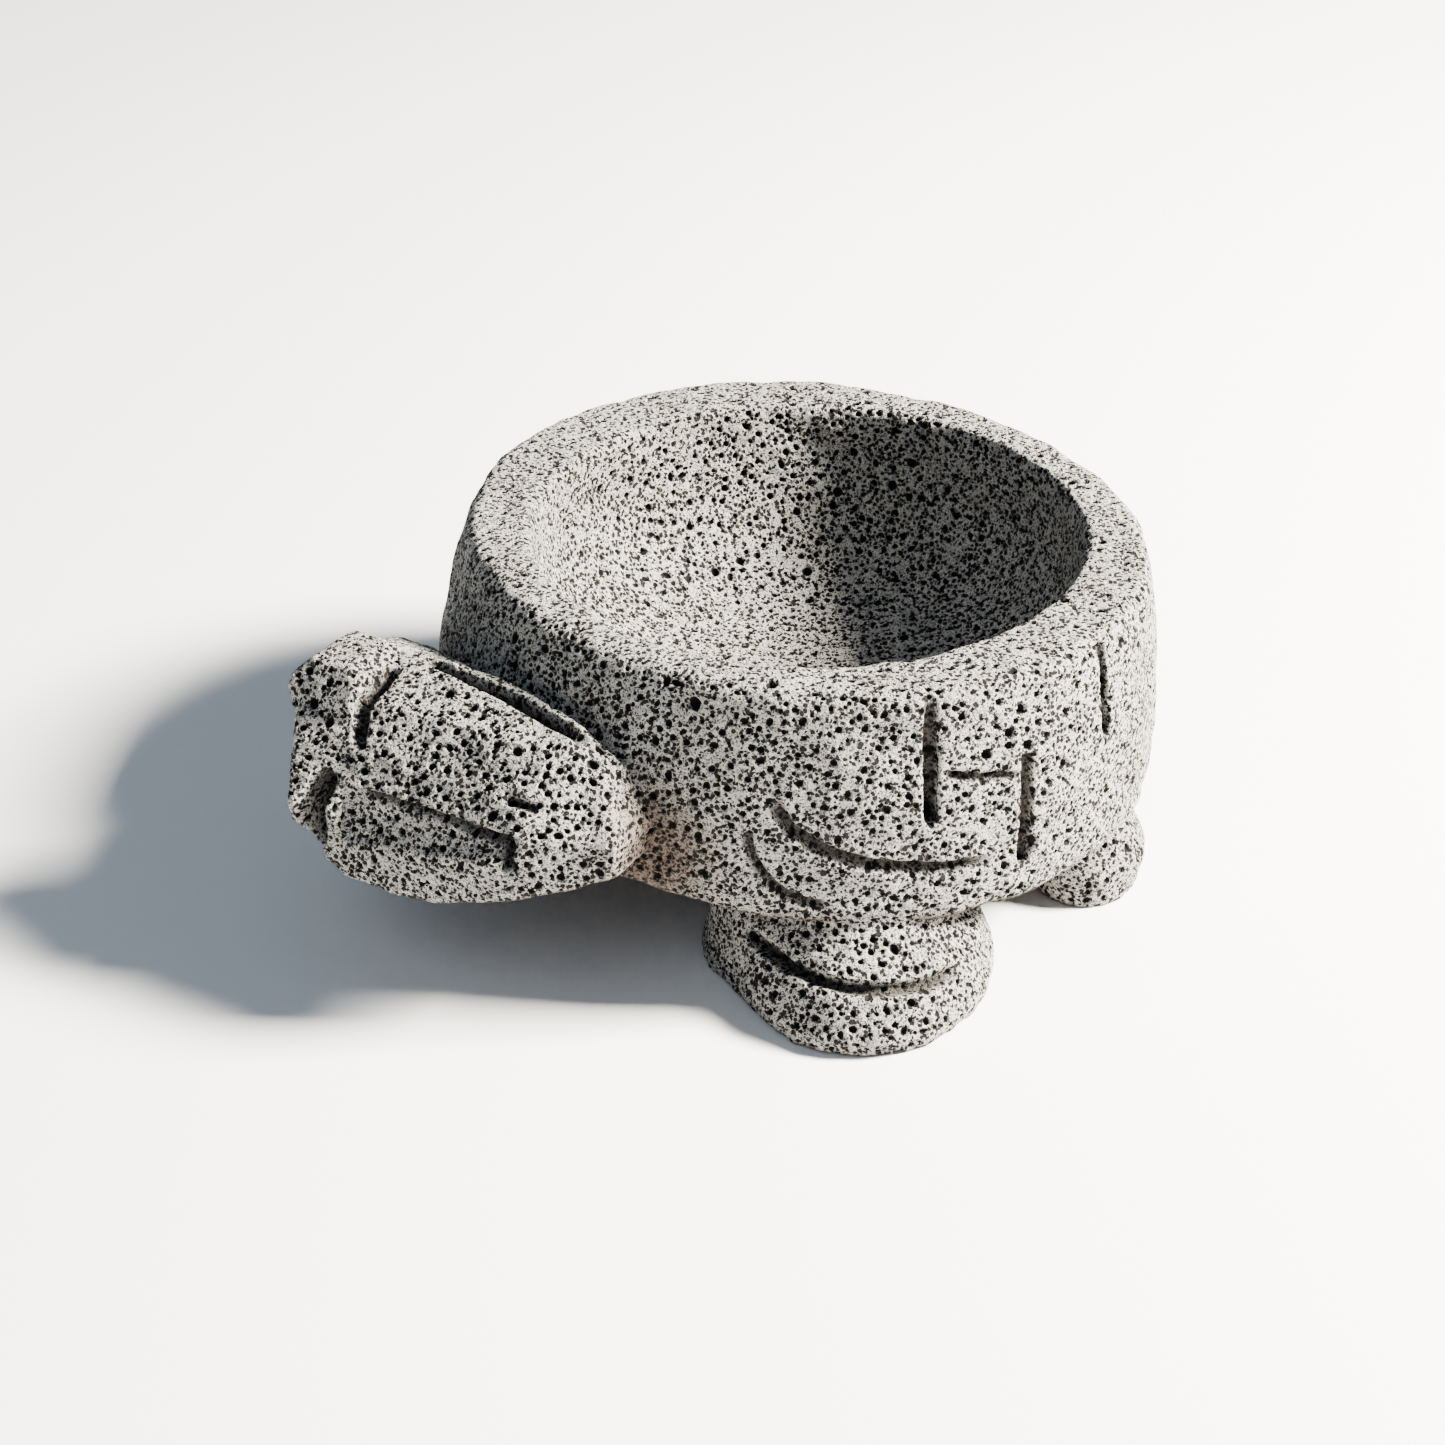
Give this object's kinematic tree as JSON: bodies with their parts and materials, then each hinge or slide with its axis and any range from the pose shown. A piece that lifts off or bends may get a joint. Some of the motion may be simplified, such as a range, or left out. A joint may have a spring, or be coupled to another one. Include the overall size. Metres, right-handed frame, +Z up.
{
  "type": "mortar",
  "caption": "Free-standing turtle-shaped mortar hewn from porous volcanic stone, with a round basin, a turned head, front flippers, rear feet and a short tail.",
  "frame": {"origin": "on the ground, at the middle of the whole body's box", "axes": "+Z up, -Y towards the head, +X towards the turtle's left side"},
  "size_m": [0.1892, 0.2271, 0.08],
  "materials": {
    "basalt": "rough, open-pored, light grey"
  },
  "bodies": {
    "root": {"bowl": "basalt", "head": "basalt", "front_left_flipper": "basalt", "front_right_flipper": "basalt", "rear_left_foot": "basalt", "rear_right_foot": "basalt", "tail": "basalt"}
  },
  "joints": []
}
